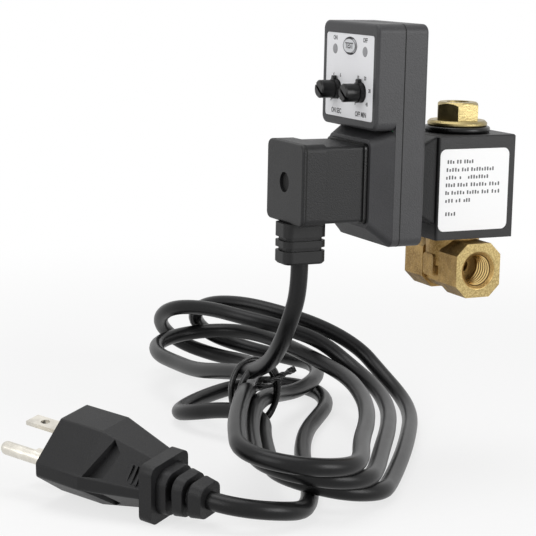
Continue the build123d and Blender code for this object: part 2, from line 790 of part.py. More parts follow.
# ================================================================ connector
# Square moulding with a thicker, rounded head on the far side, a well for the screw and three slots.
with BuildPart() as connector_housing:
    with BuildSketch(Plane.YZ.offset(connector_front_x + head_length)):
        with Locations((stem_y, screw_z)):
            RectangleRounded(connector_size - 2 * head_step, connector_size - 2 * head_step, 1.2)
    extrude(amount=connector_length - head_length)
    with BuildSketch(Plane.YZ.offset(connector_front_x)):
        with Locations((stem_y, screw_z)):
            RectangleRounded(connector_size, connector_size, head_corner)
    extrude(amount=head_length)
    fillet(connector_housing.faces().sort_by(Axis.X)[0].edges(), head_edge)
    with BuildSketch(Plane.YZ.offset(connector_front_x)):
        with Locations((stem_y, screw_z)):
            Circle(screw_well_radius)
    extrude(amount=screw_well_depth, mode=Mode.SUBTRACT)
    with BuildSketch(Plane.YZ.offset(connector_front_x)):
        with Locations((stem_y, screw_z)):
            Circle(screw_radius + screw_clearance)
    extrude(amount=connector_length, mode=Mode.SUBTRACT)
    with BuildSketch(Plane.YZ.offset(connector_rear_x)):
        with Locations((stem_y, screw_z)):
            for side in (-1, 1):
                with Locations((side * terminal_spread, 0)):
                    Rectangle(socket_thickness + 2 * fit_gap, socket_width + 2 * fit_gap)
            with Locations((0, -earth_drop)):
                Rectangle(socket_width + 2 * fit_gap, socket_thickness + 2 * fit_gap)
    extrude(amount=-terminal_reach - socket_floor - fit_gap, mode=Mode.SUBTRACT)
save(connector_housing.part, "connector_housing")

contact_front_x = connector_rear_x - terminal_reach - socket_floor
save(
    pin_sockets(contact_front_x, terminal_reach + socket_floor - fit_gap, terminal_reach),
    "connector_contacts",
)

screw_head_x = connector_front_x + screw_well_depth
with BuildPart() as fixing_screw:
    with BuildSketch(Plane.YZ.offset(screw_head_x - screw_head_height - face_gap)):
        with Locations((stem_y, screw_z)):
            Circle(screw_head_radius)
    extrude(amount=screw_head_height)
    fillet(fixing_screw.edges().group_by(Axis.X)[0], 0.5)
    with BuildSketch(Plane.YZ.offset(screw_head_x - face_gap)):
        with Locations((stem_y, screw_z)):
            Circle(screw_radius)
    extrude(amount=coil_face_x + terminal_root - fit_gap - screw_head_x)
    with BuildSketch(Plane.YZ.offset(screw_head_x - screw_head_height - face_gap)):
        with Locations((stem_y, screw_z)):
            Rectangle(2 * screw_head_radius, 0.8, rotation=25)
    extrude(amount=0.9, mode=Mode.SUBTRACT)
save(fixing_screw.part, "fixing_screw")

# Ribbed sleeve below the connector.
with BuildPart() as strain_relief:
    with BuildSketch(Plane.XY.offset(relief_base_z)):
        with Locations((relief_x, stem_y)):
            RectangleRounded(relief_width, relief_depth, relief_corner)
    extrude(amount=relief_height - face_gap)
    for groove in range(2):
        groove_z = relief_base_z + relief_first_groove + groove * relief_groove_pitch
        with BuildSketch(Plane.XY.offset(groove_z)):
            with Locations((relief_x, stem_y)):
                Rectangle(relief_width + 2, relief_depth + 2)
                RectangleRounded(
                    relief_width - 2 * relief_groove,
                    relief_depth - 2 * relief_groove,
                    relief_corner - relief_groove,
                    mode=Mode.SUBTRACT,
                )
        extrude(amount=relief_groove_height, mode=Mode.SUBTRACT)
    chamfer(strain_relief.faces().sort_by(Axis.Z)[0].edges(), 0.8)
save(strain_relief.part, "strain_relief")

# ================================================================ cord
def cord_tube(points):
    """Round cord along straight runs joined by arcs as large as the runs allow."""
    bends = []
    for before, corner, after in zip(points, points[1:], points[2:]):
        run_in = Vector(*corner) - Vector(*before)
        run_out = Vector(*after) - Vector(*corner)
        half_turn = math.radians(run_in.get_angle(run_out)) / 2
        bends.append(0.45 * min(run_in.length, run_out.length) / math.tan(half_turn))
    with BuildPart() as tube:
        with BuildLine() as route:
            FilletPolyline(*points, radius=bends)
        with BuildSketch(Plane(origin=route.wire() @ 0, z_dir=route.wire() % 0)):
            Circle(cord_radius)
        sweep(path=route.wire())
    print("bend radii", [round(bend, 1) for bend in bends])
    print("length", round(route.wire().length, 1))
    print("volume ratio", round(tube.part.volume / (math.pi * cord_radius**2 * route.wire().length), 4))
    return tube.part


# From the connector the cord hangs down and back into the tie of the bundle.
lead_route = [
    (relief_x, stem_y, relief_base_z),
    (relief_x, stem_y, relief_base_z - 10),
    (-61.4, -14.3, -17),
    (-60.3, -8.0, -27),
    (-58.9, 1.0, -36.5),
    (-56.9, 13.0, -46.2),
]
save(cord_tube(lead_route), "cord_lead")

# The tied bundle of loose turns: its outline and the clear space inside the turns, seen from above.
bundle_outline = [
    (-80, -72),
    (-40, -52),
    (-5, 0),
    (27, 60),
    (33, 92),
    (22, 116),
    (-10, 150),
    (-34, 169),
    (-52, 162),
    (-62, 128),
    (-68, 80),
    (-68, 35),
    (-84, 0),
    (-99, -40),
    (-96, -62),
]
bundle_opening = [
    (-62, -48),
    (-38, -25),
    (-22, 5),
    (-16, 38),
    (-24, 75),
    (-36, 115),
    (-44, 120),
    (-48, 80),
    (-49, 35),
    (-62, 5),
    (-76, -32),
    (-74, -46),
]
with BuildPart() as cord_coil:
    with BuildSketch(Plane.XY.offset(ground_level)):
        with BuildLine():
            Spline(*bundle_outline, periodic=True)
        make_face()
        with BuildLine():
            Spline(*bundle_opening, periodic=True)
        make_face(mode=Mode.SUBTRACT)
    extrude(amount=bundle_height)
    # the far end of the bundle stands higher than the front
    with BuildSketch(Plane.YZ.offset(-120)):
        with BuildLine():
            Polyline(
                (-90, ground_level + bundle_front_height),
                (30, ground_level + bundle_tie_height),
                (175, ground_level + bundle_height),
                (175, ground_level + bundle_height + 5),
                (-90, ground_level + bundle_height + 5),
                close=True,
            )
        make_face()
    extrude(amount=180, mode=Mode.SUBTRACT)
save(cord_coil.part, "cord_coil")

# Tie round the near limb of the bundle.
with BuildPart() as cord_tie:
    with BuildSketch(Plane.XZ.offset(-tie_y)):
        with Locations((tie_x, ground_level + bundle_tie_height / 2)):
            RectangleRounded(tie_span + 2 * tie_thickness, bundle_tie_height + 2 * tie_thickness, 4)
            RectangleRounded(tie_span, bundle_tie_height, 3, mode=Mode.SUBTRACT)
    extrude(amount=tie_width / 2, both=True)
    with BuildSketch(Plane.XY.offset(ground_level)):
        with Locations((tie_x, tie_y)):
            Rectangle(2 * tie_span, 2 * tie_width)
    extrude(amount=-2 * tie_thickness, mode=Mode.SUBTRACT)
save(cord_tie.part, "cord_tie")

tail_route = [
    (-90.3, -71.6, -65.8),
    (-99.0, -69.1, -65.6),
    (-106.6, -64.3, -65.1),
    (plug_exit.X, plug_exit.Y, plug_exit.Z),
]
save(cord_tube(tail_route), "cord_tail")

# ================================================================ plug
yaw = math.radians(plug_yaw)
pitch = math.radians(plug_pitch)
roll = math.radians(plug_roll)
plug_axis = Vector(math.cos(yaw) * math.cos(pitch), math.sin(yaw) * math.cos(pitch), math.sin(pitch))
side_level = Vector(0, 0, 1).cross(plug_axis).normalized()
side_up = plug_axis.cross(side_level)
# local x points to the ground pin, local z along the pins
plug_side = side_level * math.cos(roll) + side_up * math.sin(roll)
plug_plane = Plane(origin=plug_exit, x_dir=plug_side, z_dir=plug_axis)
collar_z = plug_relief_length
body_z = collar_z + plug_collar_length
face_z = body_z + plug_body_length

with BuildPart() as plug_strain_relief:
    with BuildSketch(plug_plane):
        RectangleRounded(2 * plug_relief_tip, 2 * plug_relief_tip, plug_relief_tip * 0.6)
    with BuildSketch(plug_plane.offset(plug_relief_length)):
        RectangleRounded(2 * plug_relief_root, 2 * plug_relief_root, plug_relief_root * 0.6)
    loft()
    for groove in range(2):
        with BuildSketch(plug_plane.offset(plug_relief_length * (0.28 + 0.36 * groove))):
            Rectangle(4 * plug_relief_root, 4 * plug_relief_root)
            Circle(plug_relief_core, mode=Mode.SUBTRACT)
        extrude(amount=plug_relief_groove, mode=Mode.SUBTRACT)
save(plug_strain_relief.part, "plug_strain_relief")

# Body: square collar, then a moulding that widens to the flat face, with a recessed grip on each side.
with BuildPart() as plug_body:
    with BuildSketch(plug_plane.offset(collar_z)):
        RectangleRounded(plug_collar_size, plug_collar_size, 3.0)
    extrude(amount=plug_collar_length)
    half_face = plug_face_height / 2
    for section_z, scale in ((body_z, plug_waist_share), (body_z + plug_body_length * 0.55, 1.0)):
        with BuildSketch(plug_plane.offset(section_z)):
            with BuildLine():
                Polyline(
                    (-plug_back * scale, -half_face * scale),
                    (plug_shoulder * scale, -half_face * scale),
                    (plug_front * scale, -plug_apex / 2 * scale),
                    (plug_front * scale, plug_apex / 2 * scale),
                    (plug_shoulder * scale, half_face * scale),
                    (-plug_back * scale, half_face * scale),
                    close=True,
                )
            make_face()
            fillet(vertices(), 1.6 * scale)
    loft()
    with BuildSketch(plug_plane.offset(body_z + plug_body_length * 0.55)):
        with BuildLine():
            Polyline(
                (-plug_back, -half_face),
                (plug_shoulder, -half_face),
                (plug_front, -plug_apex / 2),
                (plug_front, plug_apex / 2),
                (plug_shoulder, half_face),
                (-plug_back, half_face),
                close=True,
            )
        make_face()
        fillet(vertices(), 1.6)
    extrude(amount=plug_body_length * 0.45)
save(plug_body.part, "plug_body")

pin_plane = plug_plane.offset(face_z)
with BuildPart() as plug_blades:
    for side in (-1, 1):
        with BuildSketch(pin_plane):
            with Locations((-blade_line, side * blade_pitch / 2)):
                Rectangle(blade_width, blade_thickness)
        extrude(amount=blade_length)
    with BuildSketch(Plane(origin=pin_plane.origin, x_dir=plug_axis, z_dir=plug_side.cross(plug_axis))):
        with Locations((blade_length - blade_hole_inset, -blade_line)):
            Circle(blade_hole_radius)
    extrude(amount=blade_pitch, both=True, mode=Mode.SUBTRACT)
save(plug_blades.part, "plug_blades")

with BuildPart() as ground_pin:
    with BuildSketch(pin_plane):
        with Locations((ground_offset - blade_line, 0)):
            Circle(ground_pin_radius)
    extrude(amount=ground_pin_length)
    fillet(ground_pin.faces().sort_by(Axis(pin_plane.origin, plug_axis))[-1].edges(), ground_pin_radius * 0.9)
save(ground_pin.part, "ground_pin")
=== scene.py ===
# %% [markdown]
# # Automatic drain valve
# A brass valve empties the water that collects in a compressed-air tank. A coil lifts its plunger, a plug-in
# timer decides when, and a mains lead, tied up for storage, feeds the coil. The sizes and the moving bodies
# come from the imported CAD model; this script gives it its looks.

# %% Load the frame
import bpy
import json
import math
from mathutils import Matrix, Vector


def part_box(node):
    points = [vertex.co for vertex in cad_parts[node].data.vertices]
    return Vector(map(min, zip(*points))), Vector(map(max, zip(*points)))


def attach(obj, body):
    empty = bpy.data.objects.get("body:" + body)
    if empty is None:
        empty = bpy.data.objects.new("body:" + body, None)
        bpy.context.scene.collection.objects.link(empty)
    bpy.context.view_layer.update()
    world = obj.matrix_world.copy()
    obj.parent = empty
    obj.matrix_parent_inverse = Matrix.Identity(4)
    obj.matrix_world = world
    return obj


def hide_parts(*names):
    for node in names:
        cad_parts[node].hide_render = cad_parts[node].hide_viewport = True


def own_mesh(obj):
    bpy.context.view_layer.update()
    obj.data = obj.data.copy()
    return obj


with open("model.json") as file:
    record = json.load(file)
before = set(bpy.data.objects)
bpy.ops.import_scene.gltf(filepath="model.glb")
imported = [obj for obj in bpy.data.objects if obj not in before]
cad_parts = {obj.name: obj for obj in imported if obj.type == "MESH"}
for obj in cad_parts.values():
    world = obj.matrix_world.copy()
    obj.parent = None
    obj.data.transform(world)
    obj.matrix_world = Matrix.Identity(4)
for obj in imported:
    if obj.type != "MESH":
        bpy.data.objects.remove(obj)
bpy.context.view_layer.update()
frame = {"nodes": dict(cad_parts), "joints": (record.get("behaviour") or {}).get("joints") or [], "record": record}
mm = 0.001

# %% [markdown]
# ## Camera
# The object is seen from its timer side, a little above the middle, with a long lens. A camera is a matrix:
# its columns are the right, up and backward directions. Two directions are enough, because the third is
# their cross product, so the view stays square even if one is edited.

# %% Camera
camera_place = Vector((-0.32766, -0.54196, 0.10705))
camera_right = Vector((0.90190, -0.43146, 0.02054)).normalized()
camera_up = Vector((0.05809, 0.16829, 0.98403)).normalized()
camera_back = camera_right.cross(camera_up)

bpy.ops.object.camera_add()
camera = bpy.context.active_object
camera.name = "camera"
camera_turn = Matrix((camera_right, camera_up, camera_back)).transposed().to_4x4()
camera.matrix_world = Matrix.Translation(camera_place) @ camera_turn
camera.data.lens = 115.4
camera.data.clip_start = 0.01
bpy.context.scene.camera = camera
print("camera lens", camera.data.lens)

# %% [markdown]
# ## Mains lead
# The lead hangs from the connector, goes into a tie and makes three loose turns, a short fold and one last
# strand that runs under the bundle to the plug. A rope like this is one smooth spline. The turns share the
# same stations, so a loop works them out: each station has a middle place and a spread, and each turn takes
# its own share of the spread. The turns differ in size and lie on each other, as loose ones do.

# %% Lead: its stations
cord_radius = 3.1 * mm

# places along the lead, in millimetres; it leaves the sleeve straight down
first_drop = 10
relief_low, relief_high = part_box("strain_relief")
stem_y = (relief_low.y + relief_high.y) / 2 / mm
lead_route = [
    (-61.9, stem_y, relief_low.z / mm),
    (-61.9, stem_y, relief_low.z / mm - first_drop),
    (-64, -15, -17),
    (-64.5, -9, -27),
    (-62.5, 4, -37),
]

# each turn: its run to the far fold, the fold's centre, half width and reach, its run back, and the share
# that it takes of the spread
turns = [
    {
        "out": [(-60.5, 24, -45.2), (-63, 46, -49.5), (-64, 68, -54), (-63, 90, -56)],
        "centre": (-38, 112, -55), "width": (25, 0, 2), "reach": (0, 26, 0),
        "back": [(-10, 92, -54)], "share": -1,
    },
    {
        "out": [(-61, 24, -52.5), (-51, 48, -57), (-37, 74, -61), (-22, 100, -64.3), (-14, 122, -67)],
        "centre": (-32, 127, -53), "width": (-10, -17, 15), "reach": (-17, 19, 2),
        "back": [(-31, 91, -40), (-17, 83, -43.5), (-4, 76, -48.5)], "share": 0,
    },
    {
        "out": [
            (-54, 25, -55.5), (-40, 44, -60.5), (-22, 60, -64.3),
            (-4, 78, -64.3), (6, 100, -64.5), (2, 122, -66),
        ],
        "centre": (-18, 124, -50.5), "width": (-9, -17, 14), "reach": (-17, 16, 2),
        "back": [(-14, 92, -39), (2, 83, -45), (14, 75, -53)], "share": 1,
    },
]
far_fold_angles = (-90, -45, 0, 45, 90)

# stations that the turns share: the middle place and the spread
right_run = [
    ((5, 64, -58), (13, 2, -2.5)),
    ((5, 44, -62), (15, 5, -6.3)),
    ((-2, 22, -64), (15, 8, -6.6)),
    ((-16, -3, -64), (14, 9, -6.6)),
    ((-33, -28, -64), (13, 8, -6.6)),
]
near_fold_centre, near_fold_spread = (-68, -43, 0), (8.5, 5, 0)
near_fold_radius = 21.5

# round the near fold: the angle, the middle height and its spread
near_fold_heights = [
    (-20, -63.9, -6.8), (-60, -62.6, -6.8), (-100, -60.5, -6.6),
    (-140, -58.5, -6.0), (-180, -57.6, -6.1), (-220, -56.7, -6.4),
]
left_run = [
    ((-77, -11, -55.5), (9, 8, -6.6)),
    ((-67, 7, -53.5), (5, 2, -7)),
]
short_fold = [
    (-60.5, 24, -60.5), (-66, 38, -62.5), (-73, 52, -66.5), (-73, 66, -70),
    (-62, 80, -70.9), (-46, 92, -70.9), (-31, 99.5, -70.9), (-17, 100.5, -70.9),
    (-7, 92.5, -70.9), (-3.5, 80, -70.9), (-6.5, 66, -70.9), (-13, 54, -70.9),
]

# the last strand lies on the ground and rises a little into the plug
strand_to_plug = [
    (-22, 43, -70.9), (-35, 27, -70.9), (-47, 7, -70.9),
    (-56, -12, -70.9), (-63, -30, -70.9), (-70, -45, -70.9),
    (-75.5, -54.5, -70.8), (-82.2, -63.2, -69.8), (-91.4, -67.6, -67.6), (-101.4, -66.9, -66.0),
    (-109.9, -61.8, -64.8), (-112.6, -57.6, -64.3),
]

# %% Lead: the route and its spline
def station(middle, spread, share):
    """A turn's point: the middle place moved by its share of the spread."""
    return Vector(middle) + share * Vector(spread)


route = [Vector(p) for p in lead_route]
for turn in turns:
    route += [Vector(p) for p in turn["out"]]
    for angle in far_fold_angles:
        along, across = math.cos(math.radians(angle)), math.sin(math.radians(angle))
        route.append(Vector(turn["centre"]) + along * Vector(turn["reach"]) + across * Vector(turn["width"]))
    route += [Vector(p) for p in turn["back"]]
    route += [station(middle, spread, turn["share"]) for middle, spread in right_run]
    centre = station(near_fold_centre, near_fold_spread, turn["share"])
    for angle, height, height_spread in near_fold_heights:
        round_it = Vector((math.cos(math.radians(angle)), math.sin(math.radians(angle)), 0))
        raised = Vector((0, 0, height + turn["share"] * height_spread))
        route.append(centre + near_fold_radius * round_it + raised)
    route += [station(middle, spread, turn["share"]) for middle, spread in left_run]
route += [Vector(p) for p in short_fold + strand_to_plug]


def measured(curve):
    """Length of a curve object's line, from its mesh while it has no thickness."""
    line = bpy.data.meshes.new_from_object(curve.evaluated_get(bpy.context.evaluated_depsgraph_get()))
    ends = ((line.vertices[a].co, line.vertices[b].co) for a, b in (edge.vertices for edge in line.edges))
    length = sum((first - second).length for first, second in ends)
    bpy.data.meshes.remove(line)
    return length


flex_data = bpy.data.curves.new("lead_flex", "CURVE")
flex_data.dimensions = "3D"
flex_spline = flex_data.splines.new("NURBS")
flex_spline.points.add(len(route) - 1)
for point, place in zip(flex_spline.points, route):
    point.co = (*(place * mm), 1.0)
    point.radius = cord_radius
flex_spline.order_u = 3
flex_spline.use_endpoint_u = True
flex_spline.resolution_u = 10
flex_data.bevel_resolution = 7
flex_data.use_fill_caps = True
lead_flex = bpy.data.objects.new("lead_flex", flex_data)
bpy.context.scene.collection.objects.link(lead_flex)
bpy.context.view_layer.update()
lead_length = measured(lead_flex)

# the points carry the lead's radius, so the bevel only turns it on
flex_data.bevel_depth = 1.0
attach(lead_flex, "coil_unit")
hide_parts("cord_lead", "cord_coil", "cord_tail")
print("lead: %.2f m, %d points" % (lead_length, len(route)))

# %% [markdown]
# ## Helpers for modelling
# Every operator works on what is selected, so these helpers start by letting go of everything. A finished
# piece has its turn and size applied: its object sits at the origin and its place is in its mesh.

# %% Helpers: take, settle and modifiers
def take(*objects):
    """Select these objects only, the first one active."""
    bpy.ops.object.select_all(action="DESELECT")
    for one in objects:
        one.select_set(True)
    bpy.context.view_layer.objects.active = objects[0]


finish_of = {"lead_flex": "cord_jacket"}


def settle(piece, name, body, finish):
    """Apply a piece's place, name it, note its finish and let it ride on its body."""
    take(piece)
    bpy.ops.object.transform_apply(location=True, rotation=True, scale=True)
    piece.name = name
    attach(piece, body)
    finish_of[name] = finish
    return piece


def apply_modifiers(piece):
    """Bake a piece's modifiers into its mesh, in their order."""
    take(piece)
    for modifier in list(piece.modifiers):
        bpy.ops.object.modifier_apply(modifier=modifier.name)


def carve(piece, cutters):
    """Cut each cutter's shape out of a piece, then throw the cutters away."""
    for cutter in cutters:
        modifier = piece.modifiers.new("carve", "BOOLEAN")
        modifier.operation, modifier.solver, modifier.object = "DIFFERENCE", "EXACT", cutter
    apply_modifiers(piece)
    for cutter in cutters:
        bpy.data.objects.remove(cutter)


def select_edges(piece, test):
    """In edit mode with edges selected where the test holds for their two ends."""
    take(piece)
    bpy.ops.object.mode_set(mode="EDIT")
    bpy.ops.mesh.select_all(action="DESELECT")
    bpy.ops.mesh.select_mode(type="EDGE")
    bpy.ops.object.mode_set(mode="OBJECT")
    for edge in piece.data.edges:
        a, b = (piece.data.vertices[v].co for v in edge.vertices)
        edge.select = test(a, b)
    bpy.ops.object.mode_set(mode="EDIT")


# %% Helpers: plates and turned shapes
def plate(centre, size, corner, thin):
    """A thin plate with rounded corners. thin is the index of the axis along its thickness."""
    bpy.ops.object.select_all(action="DESELECT")
    bpy.ops.mesh.primitive_cube_add(size=1, location=centre)
    piece = bpy.context.active_object
    piece.scale = size
    bpy.ops.object.transform_apply(location=False, rotation=False, scale=True)
    select_edges(piece, lambda a, b: abs(a[thin] - b[thin]) > size[thin] / 2)
    bpy.ops.mesh.bevel(offset=corner, segments=8)
    bpy.ops.object.mode_set(mode="OBJECT")
    return piece


def turned(profile, steps=64):
    """A shape turned about Z: a circle is extruded and resized from one (radius, height) to the next."""
    bpy.ops.object.select_all(action="DESELECT")
    radius, height = profile[0]
    bpy.ops.mesh.primitive_circle_add(vertices=steps, radius=radius, location=(0, 0, height))
    piece = bpy.context.active_object
    bpy.ops.object.transform_apply(location=True, rotation=True, scale=True)
    bpy.ops.object.mode_set(mode="EDIT")
    bpy.ops.mesh.select_all(action="SELECT")
    for next_radius, next_height in profile[1:]:
        bpy.ops.mesh.extrude_region_move(TRANSFORM_OT_translate={"value": (0, 0, next_height - height)})
        share = next_radius / radius
        bpy.ops.transform.resize(value=(share, share, 1), center_override=(0, 0, next_height))
        radius, height = next_radius, next_height
    bpy.ops.object.mode_set(mode="OBJECT")
    return piece


def pointed(piece, place, direction):
    """Turn a piece made about Z so that Z becomes the direction, and put it in place."""
    piece.rotation_mode = "QUATERNION"
    piece.rotation_quaternion = Vector(direction).to_track_quat("Z", "Y")
    piece.location = place


# %% Helpers: printed text
timer_facing = Matrix(((0, 0, -1), (-1, 0, 0), (0, 1, 0)))
capital_share = 0.7    # height of a capital over the size of its font
bolder = 0.025
ink_depth = 0.02 * mm


def lettering(text, place, height, name, body, width):
    """Flat printed text as a thin mesh that faces as the timer does, centred on its place."""
    bpy.ops.object.select_all(action="DESELECT")
    bpy.ops.object.text_add(location=place)
    piece = bpy.context.active_object
    piece.data.body = text
    piece.data.size = height / capital_share
    piece.data.offset = bolder * piece.data.size
    piece.data.align_x, piece.data.align_y = "CENTER", "CENTER"
    piece.data.extrude = ink_depth
    piece.data.resolution_u = 3
    piece.rotation_euler = timer_facing.to_euler()
    piece.scale = (width, 1, 1)
    bpy.ops.object.convert(target="MESH")
    return settle(bpy.context.active_object, name, body, "ink")


pieces = {}

# %% [markdown]
# ## Port threads
# Both ports have a tapered pipe thread. The solid keeps a plain bore, because a screw thread is costly and
# nothing collides with it. A stack of sharp ridges is what the eye sees in a port: one circle is extruded to
# a crest, back to a root, and so on into the bore.

# %% Port threads
mounts = {mount["name"]: mount for mount in frame["record"]["mounts"]}
inlet, outlet = mounts["inlet_port"], mounts["outlet_port"]
bore_radius = inlet["dims"]["r_mm"] * mm
bore_length = inlet["dims"]["length_mm"] * mm
thread_pitch = 1.41 * mm
crest_radius = bore_radius - 0.62 * mm
root_radius = bore_radius - 0.02 * mm
mouth_radius = bore_radius - 0.01 * mm
crest_starts, crest_ends = 0.47 * thread_pitch, 0.57 * thread_pitch
ridge_count = int(bore_length / thread_pitch)
for mount in (inlet, outlet):
    profile = [(mouth_radius, 0.0)]
    for ridge in range(ridge_count):
        start = -ridge * thread_pitch
        profile.append((root_radius, start - 0.12 * mm))
        profile.append((crest_radius, start - crest_starts))
        profile.append((crest_radius, start - crest_ends))
        profile.append((root_radius, start - thread_pitch + 0.1 * mm))
    thread = turned(profile)
    take(thread)
    bpy.ops.object.mode_set(mode="EDIT")
    bpy.ops.mesh.select_all(action="SELECT")
    bpy.ops.mesh.flip_normals()
    bpy.ops.object.mode_set(mode="OBJECT")
    pointed(thread, Vector(mount["pos_m"]), mount["axis"])
    name = mount["name"].replace("port", "thread")
    pieces[name] = settle(thread, name, "valve_body", "brass")
print("thread ridges:", ridge_count)

# %% [markdown]
# ## Timer label
# A light-grey film fills the recess in the timer's face. The test button and the two spindles come through
# it, so it is a plate with holes: cutters are subtracted with a Boolean modifier. The printing is real
# text, turned into a thin mesh, because a sharp letter survives any export.

# %% Timer label
label_width, label_height = 34.4 * mm, 29.0 * mm
label_z = 67.9 * mm
label_front = -44.42 * mm
label_back = -44.17 * mm
label_corner = 1.3 * mm
axis_y = stem_y * mm
knob_hole_radius = 3.50 * mm
button_margin = 0.12 * mm
timer_label = plate(
    ((label_front + label_back) / 2, axis_y, label_z), (label_back - label_front, label_width, label_height),
    label_corner, 0)

# what comes through the label: its middle, and the half width and half height of its hole
button_low, button_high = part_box("test_button")
button_middle, button_size = (button_low + button_high) / 2, button_high - button_low
spindles = {
    joint["child"]: Vector(joint["pos_m"])
    for joint in frame["joints"] if joint["child"] in ("on_time_knob", "off_time_knob")
}
holes = [(button_middle, button_size.y / 2 + button_margin, button_size.z / 2 + button_margin)]
holes += [(place, knob_hole_radius, knob_hole_radius) for place in spindles.values()]
cutters = []
for middle, half_y, half_z in holes:
    bpy.ops.object.select_all(action="DESELECT")
    bpy.ops.mesh.primitive_cylinder_add(
        vertices=48, radius=1, depth=4 * mm, location=(label_front, middle.y, middle.z),
        rotation=(0, math.pi / 2, 0))
    cutter = bpy.context.active_object
    cutter.scale = (half_z, half_y, 1)
    cutters.append(cutter)
carve(timer_label, cutters)
pieces["timer_label"] = settle(timer_label, "timer_label", "coil_unit", "label_film")
print("holes in the label:", len(holes))

# %% Captions and dials
print_x = label_front - ink_depth
narrow = 0.85

# each caption: its text, its place across and up, the height of its letters, its name
captions = [
    ("ON", 10.8, 80.6, 1.5, "timer_on"), ("OFF", -10.8, 80.6, 1.5, "timer_off"),
    ("ON SEC", 8.9, 55.3, 1.7, "on_seconds"), ("OFF MIN", -8.9, 55.3, 1.7, "off_minutes"),
]
for text, across, height, size, name in captions:
    place = (print_x, axis_y + across * mm, height * mm)
    pieces[name] = lettering(text, place, size * mm, name, "coil_unit", narrow)

# each dial: its spindle, and its numbers with their angles
dials = {
    "on_dial": ("on_time_knob", [(".5", 225), ("2", 171), ("4", 115), ("6", 65), ("8", 9), ("10", -45)]),
    "off_dial": ("off_time_knob", [(".5", 225), ("10", 115), ("20", 65), ("30", 9), ("45", -45)]),
}
dial_half_width, dial_half_height = 5.9 * mm, 5.4 * mm
number_height = 1.25 * mm
for dial, (knob, marks) in dials.items():
    for text, angle in marks:
        y = spindles[knob].y - dial_half_width * math.cos(math.radians(angle))
        z = spindles[knob].z + dial_half_height * math.sin(math.radians(angle))
        name = dial + "_" + text.replace(".", "half_")
        pieces[name] = lettering(text, (print_x, y, z), number_height, name, "coil_unit", narrow)
test_x, test_z = button_low.x, button_middle.z
test_place = (test_x - ink_depth, axis_y, test_z)
pieces["test_caption"] = lettering("TEST", test_place, 1.9 * mm, "test_caption", "test_button", 0.95)
print("printed pieces:", len(captions) + sum(len(marks) for _, marks in dials.values()) + 1)

# %% [markdown]
# ## Lamp windows and the ring round TEST
# The lamps show through round frosted windows in the film. Each is a flat dome: a circle is extruded and
# narrowed in a few steps, which gives a low rim that a squashed ball wouldn't have. The ring on the button is
# turned in the same way, as a thin band of unit size, and then stretched to the button's oval.

# %% Lamp windows and test ring
window_dome = [(1.75, 0), (1.7, 0.05), (1.45, 0.12), (0.8, 0.16), (0.02, 0.17)]
for node, name in (("on_led", "on_lamp_window"), ("off_led", "off_lamp_window")):
    low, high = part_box(node)
    window = turned([(radius * mm, height * mm) for radius, height in window_dome], 40)
    pointed(window, (label_front, (low.y + high.y) / 2, (low.z + high.z) / 2), (-1, 0, 0))
    pieces[name] = settle(window, name, "coil_unit", "lamp_lens")
ring_band = [(1.0, 0), (1.0, 0.03), (0.93, 0.03), (0.93, 0)]
ring_half_width, ring_half_height = 4.5, 2.6
ring = turned([(radius * mm, height * mm) for radius, height in ring_band])
pointed(ring, (test_x, axis_y, test_z), (-1, 0, 0))
take(ring)
bpy.ops.object.transform_apply(location=False, rotation=True, scale=True)
ring.scale = (1, ring_half_width, ring_half_height)
pieces["test_ring"] = settle(ring, "test_ring", "test_button", "ink")
print("test ring: %.1f mm wide" % (2 * ring_half_width))

# %% [markdown]
# ## Coil label
# A white sticker covers most of the coil's open face. Its wording is left off; rows of plain grey blocks
# stand where the lines of print are, so the sticker keeps its look from a distance. They could be painted by
# the material, but thin solids stay sharp in any export.

# %% Coil label
coil_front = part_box("coil_housing")[0].y
sticker_width, sticker_height, sticker_thick = 28.4 * mm, 29.0 * mm, 0.12 * mm
sticker_corner = 2.3 * mm
sticker_place = (-1.1 * mm, coil_front - sticker_thick / 2, 28.6 * mm)
sticker = plate(sticker_place, (sticker_width, sticker_thick, sticker_height), sticker_corner, 1)
pieces["coil_label"] = settle(sticker, "coil_label", "coil_unit", "label_white")

# each line of print: its height, and the left and right end of each word
words = {
    38.0: [(-12.6, -9.4), (-8.8, -6.4), (-5.8, -1.6)],
    35.2: [(-12.9, -7.2), (-6.6, -3.4), (-2.8, 7.0)],
    32.5: [(-13.0, -8.4), (-7.6, -6.2), (-4.0, 4.8)],
    29.8: [(-13.0, -8.8), (-8.2, -3.6), (-2.8, 4.2), (4.9, 9.6)],
    27.1: [(-13.0, -11.2), (-10.6, -4.8), (-4.2, 1.2), (1.9, 5.2), (6.0, 9.8)],
    24.3: [(-13.0, -9.4), (-8.8, -6.2), (-5.4, -2.4)],
    19.6: [(-12.8, -8.2)],
}
block_step = 1.15
block_heights = (1.35, 1.35, 1.0)
block_width, block_thick, block_corner = 0.62 * mm, 0.02 * mm, 0.15 * mm
block_y = coil_front - sticker_thick - block_thick / 4
for line, (z, dashes) in enumerate(words.items()):
    blocks = []
    for left, right in dashes:
        count = max(1, round((right - left) / block_step))
        for number in range(count):
            middle = left + (number + 0.5) * (right - left) / count
            tall = block_heights[(number + line) % 3]
            place = (middle * mm, block_y, (z + tall / 2) * mm)
            blocks.append(plate(place, (block_width, block_thick, tall * mm), block_corner, 1))
    take(*blocks)
    if len(blocks) > 1:
        bpy.ops.object.join()
    name = "coil_label_line_%d" % (line + 1)
    pieces[name] = settle(bpy.context.active_object, name, "coil_unit", "faded_ink")
print("lines of print:", len(words))

# %% [markdown]
# ## Parting lines
# Two shells meet in a fine dark line all round the timer, and the connector's head is parted from its cover
# by a groove. Such a line is a gap that no light reaches. Cutting it would mean a new shell, so each is a
# very dark, very thin slab of the case's own outline that stands a hair proud.

